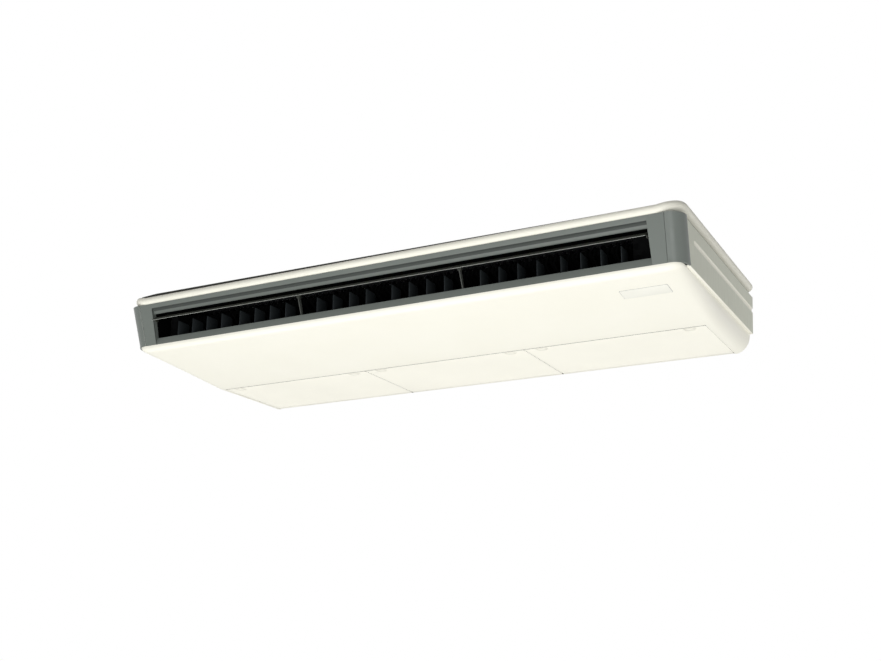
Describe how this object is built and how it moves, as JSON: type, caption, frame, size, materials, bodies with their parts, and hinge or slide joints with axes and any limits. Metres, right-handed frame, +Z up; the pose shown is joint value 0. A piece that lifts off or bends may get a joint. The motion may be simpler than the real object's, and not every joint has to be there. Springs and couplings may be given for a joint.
{
  "type": "ceiling suspended air conditioner",
  "caption": "Wide, slim air conditioner that hangs under a ceiling, with a dark front outlet, upright vanes, one long flap and hinged suction grilles underneath.",
  "frame": {"origin": "centre of the four suspension slots on the top plane", "axes": "+X along the width to the viewer's right, -Y towards the air outlet, +Z up"},
  "size_m": [1.59, 0.68, 0.195],
  "materials": {
    "ivory_plastic": "satin",
    "grille_plastic": "satin",
    "frame_gray": "satin",
    "panel_gray": "satin",
    "galvanised_steel": "satin",
    "pan_foam": "matte",
    "fin_aluminium": "satin",
    "tube_copper": "satin",
    "fan_plastic": "matte",
    "motor_steel": "satin",
    "union_brass": "satin",
    "flap_gray": "satin",
    "vane_plastic": "matte",
    "filter_net": "matte"
  },
  "bodies": {
    "casing": {"top_plate": "galvanised_steel", "steel_case": "galvanised_steel", "hanger_brackets": "galvanised_steel", "side_panel_left": "panel_gray", "side_panel_right": "panel_gray", "corner_covers": "frame_gray", "top_rim": "ivory_plastic", "outlet_frame": "frame_gray", "bottom_cover": "ivory_plastic", "drain_pan": "pan_foam", "coil_fins": "fin_aluminium", "coil_tubes": "tube_copper", "fan_housings": "fan_plastic", "fan_motor": "motor_steel", "control_box": "galvanised_steel", "pipe_fittings": "union_brass", "grille_frame": "galvanised_steel", "louver_motors": "motor_steel"},
    "flap": {"flap": "flap_gray"},
    "fan_rotor": {"fan_wheels": "fan_plastic", "fan_shaft": "motor_steel"},
    "vane_01": {"vane_01": "vane_plastic"},
    "vane_02": {"vane_02": "vane_plastic"},
    "vane_03": {"vane_03": "vane_plastic"},
    "vane_04": {"vane_04": "vane_plastic"},
    "vane_05": {"vane_05": "vane_plastic"},
    "vane_06": {"vane_06": "vane_plastic"},
    "vane_07": {"vane_07": "vane_plastic"},
    "vane_08": {"vane_08": "vane_plastic"},
    "vane_link_left": {"vane_link_left": "vane_plastic"},
    "vane_09": {"vane_09": "vane_plastic"},
    "vane_10": {"vane_10": "vane_plastic"},
    "vane_11": {"vane_11": "vane_plastic"},
    "vane_12": {"vane_12": "vane_plastic"},
    "vane_13": {"vane_13": "vane_plastic"},
    "vane_14": {"vane_14": "vane_plastic"},
    "vane_15": {"vane_15": "vane_plastic"},
    "vane_16": {"vane_16": "vane_plastic"},
    "vane_link_middle": {"vane_link_middle": "vane_plastic"},
    "vane_17": {"vane_17": "vane_plastic"},
    "vane_18": {"vane_18": "vane_plastic"},
    "vane_19": {"vane_19": "vane_plastic"},
    "vane_20": {"vane_20": "vane_plastic"},
    "vane_21": {"vane_21": "vane_plastic"},
    "vane_22": {"vane_22": "vane_plastic"},
    "vane_23": {"vane_23": "vane_plastic"},
    "vane_24": {"vane_24": "vane_plastic"},
    "vane_link_right": {"vane_link_right": "vane_plastic"},
    "grille_left": {"grille_left": "grille_plastic"},
    "filter_left": {"filter_left": "filter_net"},
    "latch_left_a": {"latch_left_a": "grille_plastic"},
    "latch_left_b": {"latch_left_b": "grille_plastic"},
    "grille_middle": {"grille_middle": "grille_plastic"},
    "filter_middle": {"filter_middle": "filter_net"},
    "latch_middle_a": {"latch_middle_a": "grille_plastic"},
    "latch_middle_b": {"latch_middle_b": "grille_plastic"},
    "grille_right": {"grille_right": "grille_plastic"},
    "filter_right": {"filter_right": "filter_net"},
    "latch_right_a": {"latch_right_a": "grille_plastic"},
    "latch_right_b": {"latch_right_b": "grille_plastic"}
  },
  "joints": [
    {"name": "vane_01_turn", "type": "hinge", "parent": "casing", "child": "vane_01", "pos_m": [-0.6395, -0.26176, -0.1254], "axis": [0, 0, 1], "range_deg": [-35, 35]},
    {"name": "vane_02_turn", "type": "hinge", "parent": "casing", "child": "vane_02", "pos_m": [-0.59018, -0.26176, -0.1254], "axis": [0, 0, 1], "range_deg": [-35, 35]},
    {"name": "vane_03_turn", "type": "hinge", "parent": "casing", "child": "vane_03", "pos_m": [-0.54086, -0.26176, -0.1254], "axis": [0, 0, 1], "range_deg": [-35, 35]},
    {"name": "vane_04_turn", "type": "hinge", "parent": "casing", "child": "vane_04", "pos_m": [-0.49154, -0.26176, -0.1254], "axis": [0, 0, 1], "range_deg": [-35, 35]},
    {"name": "vane_05_turn", "type": "hinge", "parent": "casing", "child": "vane_05", "pos_m": [-0.43102, -0.26176, -0.1254], "axis": [0, 0, 1], "range_deg": [-35, 35]},
    {"name": "vane_06_turn", "type": "hinge", "parent": "casing", "child": "vane_06", "pos_m": [-0.3817, -0.26176, -0.1254], "axis": [0, 0, 1], "range_deg": [-35, 35]},
    {"name": "vane_07_turn", "type": "hinge", "parent": "casing", "child": "vane_07", "pos_m": [-0.33238, -0.26176, -0.1254], "axis": [0, 0, 1], "range_deg": [-35, 35]},
    {"name": "vane_08_turn", "type": "hinge", "parent": "casing", "child": "vane_08", "pos_m": [-0.28306, -0.26176, -0.1254], "axis": [0, 0, 1], "range_deg": [-35, 35]},
    {"name": "vane_link_left_swing", "type": "hinge", "parent": "vane_01", "child": "vane_link_left", "pos_m": [-0.6395, -0.28476, -0.1296], "axis": [0, 0, 1], "range_deg": [-35, 35]},
    {"name": "vane_09_turn", "type": "hinge", "parent": "casing", "child": "vane_09", "pos_m": [-0.18545, -0.26176, -0.1254], "axis": [0, 0, 1], "range_deg": [-35, 35]},
    {"name": "vane_10_turn", "type": "hinge", "parent": "casing", "child": "vane_10", "pos_m": [-0.13613, -0.26176, -0.1254], "axis": [0, 0, 1], "range_deg": [-35, 35]},
    {"name": "vane_11_turn", "type": "hinge", "parent": "casing", "child": "vane_11", "pos_m": [-0.0868, -0.26176, -0.1254], "axis": [0, 0, 1], "range_deg": [-35, 35]},
    {"name": "vane_12_turn", "type": "hinge", "parent": "casing", "child": "vane_12", "pos_m": [-0.03748, -0.26176, -0.1254], "axis": [0, 0, 1], "range_deg": [-35, 35]},
    {"name": "vane_13_turn", "type": "hinge", "parent": "casing", "child": "vane_13", "pos_m": [0.03748, -0.26176, -0.1254], "axis": [0, 0, 1], "range_deg": [-35, 35]},
    {"name": "vane_14_turn", "type": "hinge", "parent": "casing", "child": "vane_14", "pos_m": [0.0868, -0.26176, -0.1254], "axis": [0, 0, 1], "range_deg": [-35, 35]},
    {"name": "vane_15_turn", "type": "hinge", "parent": "casing", "child": "vane_15", "pos_m": [0.13613, -0.26176, -0.1254], "axis": [0, 0, 1], "range_deg": [-35, 35]},
    {"name": "vane_16_turn", "type": "hinge", "parent": "casing", "child": "vane_16", "pos_m": [0.18545, -0.26176, -0.1254], "axis": [0, 0, 1], "range_deg": [-35, 35]},
    {"name": "vane_link_middle_swing", "type": "hinge", "parent": "vane_09", "child": "vane_link_middle", "pos_m": [-0.18545, -0.28476, -0.1296], "axis": [0, 0, 1], "range_deg": [-35, 35]},
    {"name": "vane_17_turn", "type": "hinge", "parent": "casing", "child": "vane_17", "pos_m": [0.28306, -0.26176, -0.1254], "axis": [0, 0, 1], "range_deg": [-35, 35]},
    {"name": "vane_18_turn", "type": "hinge", "parent": "casing", "child": "vane_18", "pos_m": [0.33238, -0.26176, -0.1254], "axis": [0, 0, 1], "range_deg": [-35, 35]},
    {"name": "vane_19_turn", "type": "hinge", "parent": "casing", "child": "vane_19", "pos_m": [0.3817, -0.26176, -0.1254], "axis": [0, 0, 1], "range_deg": [-35, 35]},
    {"name": "vane_20_turn", "type": "hinge", "parent": "casing", "child": "vane_20", "pos_m": [0.43102, -0.26176, -0.1254], "axis": [0, 0, 1], "range_deg": [-35, 35]},
    {"name": "vane_21_turn", "type": "hinge", "parent": "casing", "child": "vane_21", "pos_m": [0.49154, -0.26176, -0.1254], "axis": [0, 0, 1], "range_deg": [-35, 35]},
    {"name": "vane_22_turn", "type": "hinge", "parent": "casing", "child": "vane_22", "pos_m": [0.54086, -0.26176, -0.1254], "axis": [0, 0, 1], "range_deg": [-35, 35]},
    {"name": "vane_23_turn", "type": "hinge", "parent": "casing", "child": "vane_23", "pos_m": [0.59018, -0.26176, -0.1254], "axis": [0, 0, 1], "range_deg": [-35, 35]},
    {"name": "vane_24_turn", "type": "hinge", "parent": "casing", "child": "vane_24", "pos_m": [0.6395, -0.26176, -0.1254], "axis": [0, 0, 1], "range_deg": [-35, 35]},
    {"name": "vane_link_right_swing", "type": "hinge", "parent": "vane_17", "child": "vane_link_right", "pos_m": [0.28306, -0.28476, -0.1296], "axis": [0, 0, 1], "range_deg": [-35, 35]},
    {"name": "flap_tilt", "type": "hinge", "parent": "casing", "child": "flap", "pos_m": [0, -0.31112, -0.07902], "axis": [1, 0, 0], "range_deg": [-28, 20]},
    {"name": "grille_left_drop", "type": "hinge", "parent": "casing", "child": "grille_left", "pos_m": [-0.49033, 0.333, -0.1895], "axis": [1, 0, 0], "range_deg": [0, 85]},
    {"name": "filter_left_lift", "type": "slide", "parent": "grille_left", "child": "filter_left", "axis": [0, 0, 1], "range_m": [0, 0.006]},
    {"name": "latch_left_a_slide", "type": "slide", "parent": "grille_left", "child": "latch_left_a", "axis": [0, -1, 0], "range_m": [0, 0.006]},
    {"name": "latch_left_b_slide", "type": "slide", "parent": "grille_left", "child": "latch_left_b", "axis": [0, -1, 0], "range_m": [0, 0.006]},
    {"name": "grille_middle_drop", "type": "hinge", "parent": "casing", "child": "grille_middle", "pos_m": [0, 0.333, -0.1895], "axis": [1, 0, 0], "range_deg": [0, 85]},
    {"name": "filter_middle_lift", "type": "slide", "parent": "grille_middle", "child": "filter_middle", "axis": [0, 0, 1], "range_m": [0, 0.006]},
    {"name": "latch_middle_a_slide", "type": "slide", "parent": "grille_middle", "child": "latch_middle_a", "axis": [0, -1, 0], "range_m": [0, 0.006]},
    {"name": "latch_middle_b_slide", "type": "slide", "parent": "grille_middle", "child": "latch_middle_b", "axis": [0, -1, 0], "range_m": [0, 0.006]},
    {"name": "grille_right_drop", "type": "hinge", "parent": "casing", "child": "grille_right", "pos_m": [0.49033, 0.333, -0.1895], "axis": [1, 0, 0], "range_deg": [0, 85]},
    {"name": "filter_right_lift", "type": "slide", "parent": "grille_right", "child": "filter_right", "axis": [0, 0, 1], "range_m": [0, 0.006]},
    {"name": "latch_right_a_slide", "type": "slide", "parent": "grille_right", "child": "latch_right_a", "axis": [0, -1, 0], "range_m": [0, 0.006]},
    {"name": "latch_right_b_slide", "type": "slide", "parent": "grille_right", "child": "latch_right_b", "axis": [0, -1, 0], "range_m": [0, 0.006]},
    {"name": "fan_spin", "type": "hinge", "parent": "casing", "child": "fan_rotor", "pos_m": [0, 0.205, -0.0772], "axis": [1, 0, 0], "continuous": true}
  ],
  "couplings": [
    {"joint": "vane_02_turn", "follows": "vane_01_turn", "ratio": 1},
    {"joint": "vane_03_turn", "follows": "vane_01_turn", "ratio": 1},
    {"joint": "vane_04_turn", "follows": "vane_01_turn", "ratio": 1},
    {"joint": "vane_05_turn", "follows": "vane_01_turn", "ratio": 1},
    {"joint": "vane_06_turn", "follows": "vane_01_turn", "ratio": 1},
    {"joint": "vane_07_turn", "follows": "vane_01_turn", "ratio": 1},
    {"joint": "vane_08_turn", "follows": "vane_01_turn", "ratio": 1},
    {"joint": "vane_link_left_swing", "follows": "vane_01_turn", "ratio": -1},
    {"joint": "vane_10_turn", "follows": "vane_09_turn", "ratio": 1},
    {"joint": "vane_11_turn", "follows": "vane_09_turn", "ratio": 1},
    {"joint": "vane_12_turn", "follows": "vane_09_turn", "ratio": 1},
    {"joint": "vane_13_turn", "follows": "vane_09_turn", "ratio": 1},
    {"joint": "vane_14_turn", "follows": "vane_09_turn", "ratio": 1},
    {"joint": "vane_15_turn", "follows": "vane_09_turn", "ratio": 1},
    {"joint": "vane_16_turn", "follows": "vane_09_turn", "ratio": 1},
    {"joint": "vane_link_middle_swing", "follows": "vane_09_turn", "ratio": -1},
    {"joint": "vane_18_turn", "follows": "vane_17_turn", "ratio": 1},
    {"joint": "vane_19_turn", "follows": "vane_17_turn", "ratio": 1},
    {"joint": "vane_20_turn", "follows": "vane_17_turn", "ratio": 1},
    {"joint": "vane_21_turn", "follows": "vane_17_turn", "ratio": 1},
    {"joint": "vane_22_turn", "follows": "vane_17_turn", "ratio": 1},
    {"joint": "vane_23_turn", "follows": "vane_17_turn", "ratio": 1},
    {"joint": "vane_24_turn", "follows": "vane_17_turn", "ratio": 1},
    {"joint": "vane_link_right_swing", "follows": "vane_17_turn", "ratio": -1}
  ]
}
